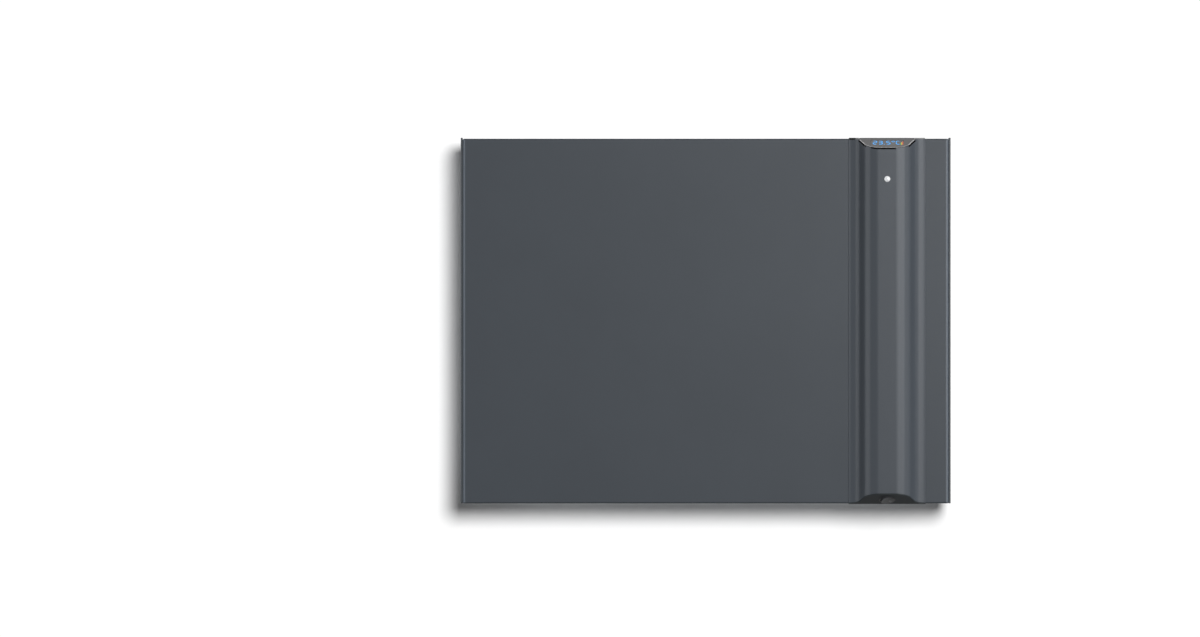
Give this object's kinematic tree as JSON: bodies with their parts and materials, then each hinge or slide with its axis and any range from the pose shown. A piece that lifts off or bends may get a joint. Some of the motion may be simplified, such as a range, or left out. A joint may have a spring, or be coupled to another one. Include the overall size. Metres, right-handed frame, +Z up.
{
  "type": "infrared panel heater",
  "caption": "Wall-hung flat panel heater with a moulded control column, slanted display cap, rocker switch, top keys and a rear wall bracket with turning latches.",
  "frame": {"origin": "on the wall plane, at the centre of the four wall-screw holes, level with the heater's middle", "axes": "+X to the right as seen by someone facing the heater, +Y into the wall (the heater faces -Y), +Z up"},
  "size_m": [0.495, 0.0829, 0.37],
  "materials": {
    "plate_paint": "satin powder coat",
    "column_plastic": "fine satin moulding",
    "trim_plastic": "satin moulding",
    "cap_plastic": "satin moulding",
    "foot_plastic": "satin moulding",
    "black_plastic": "satin moulding",
    "rocker_plastic": "semi-gloss moulding",
    "key_plastic": "satin moulding",
    "rear_steel": "galvanised sheet",
    "bracket_steel": "zinc plated sheet",
    "screw_steel": "zinc plated",
    "post_steel": "plain turned steel",
    "film": "amber insulating film",
    "track": "resistance foil",
    "foil": "bright foil",
    "board": "pressed mineral fibre",
    "brass": "plain brass",
    "ceramic_white": "matt moulding",
    "lens": "opal diffuser",
    "window": "smoked window",
    "display": "display face",
    "circuit": "solder mask",
    "relay_case": "moulded case",
    "module_case": "moulded case",
    "can": "sleeved can",
    "glass": "clear",
    "lead_brown": "silicone insulation",
    "lead_blue": "silicone insulation",
    "lead_white": "silicone insulation",
    "rubber_black": "moulded rubber"
  },
  "bodies": {
    "root": {"front_panel": "plate_paint", "side_trim_left": "trim_plastic", "side_trim_right": "trim_plastic", "rear_cover": "rear_steel", "panel_posts": "post_steel", "rear_screws": "screw_steel", "heater_film": "film", "heater_track": "track", "heater_cover_film": "film", "film_terminals": "brass", "reflector_foil": "foil", "insulation_board": "board", "board_rail_upper": "rear_steel", "board_rail_lower": "rear_steel", "thermal_cutout_upper": "ceramic_white", "thermal_cutout_lower": "ceramic_white", "terminal_block": "ceramic_white", "terminal_tubes": "brass", "terminal_screws": "screw_steel", "cable_gland": "black_plastic", "gland_nut": "black_plastic", "column_cover": "column_plastic", "display_cap": "cap_plastic", "display_window": "window", "display_module": "display", "indicator_lens": "lens", "indicator_led": "lens", "key_board": "circuit", "bottom_cap": "foot_plastic", "rocker_switch_body": "black_plastic", "column_carrier": "black_plastic", "control_board": "circuit", "board_screws": "screw_steel", "relay": "relay_case", "power_module": "module_case", "capacitor": "can", "fuse": "glass", "board_connector": "ceramic_white", "column_screws": "screw_steel", "lead_live": "lead_brown", "lead_link": "lead_brown", "lead_element": "lead_brown", "lead_neutral": "lead_blue", "lead_board": "lead_white", "lead_switch": "lead_brown", "bracket_rail_upper": "bracket_steel", "bracket_rail_lower": "bracket_steel", "bracket_arm_left": "bracket_steel", "bracket_arm_right": "bracket_steel", "latch_pivots": "screw_steel", "keeper_left": "bracket_steel", "keeper_right": "bracket_steel", "rivets": "screw_steel", "wall_buffers": "rubber_black"},
    "key_minus": {"key_minus": "key_plastic"},
    "key_mode": {"key_mode": "key_plastic"},
    "key_plus": {"key_plus": "key_plastic"},
    "power_rocker": {"power_rocker": "rocker_plastic"},
    "latch_left": {"latch_left": "black_plastic"},
    "latch_right": {"latch_right": "black_plastic"}
  },
  "joints": [
    {"name": "power_rocker_tilt", "type": "hinge", "parent": "root", "child": "power_rocker", "pos_m": [0.1832, -0.07071, -0.18002], "axis": [0, 0.8962, -0.4436], "range_deg": [0, 16]},
    {"name": "key_minus_press", "type": "slide", "parent": "root", "child": "key_minus", "axis": [0, 0, -1], "range_m": [0, 0.001], "stiffness_N_per_m": 1200},
    {"name": "key_mode_press", "type": "slide", "parent": "root", "child": "key_mode", "axis": [0, 0, -1], "range_m": [0, 0.001], "stiffness_N_per_m": 1200},
    {"name": "key_plus_press", "type": "slide", "parent": "root", "child": "key_plus", "axis": [0, 0, -1], "range_m": [0, 0.001], "stiffness_N_per_m": 1200},
    {"name": "latch_left_turn", "type": "hinge", "parent": "root", "child": "latch_left", "pos_m": [-0.11, -0.0193, 0.146], "axis": [0, 1, 0], "range_deg": [0, 90]},
    {"name": "latch_right_turn", "type": "hinge", "parent": "root", "child": "latch_right", "pos_m": [0.11, -0.0193, 0.146], "axis": [0, -1, 0], "range_deg": [0, 90]}
  ]
}
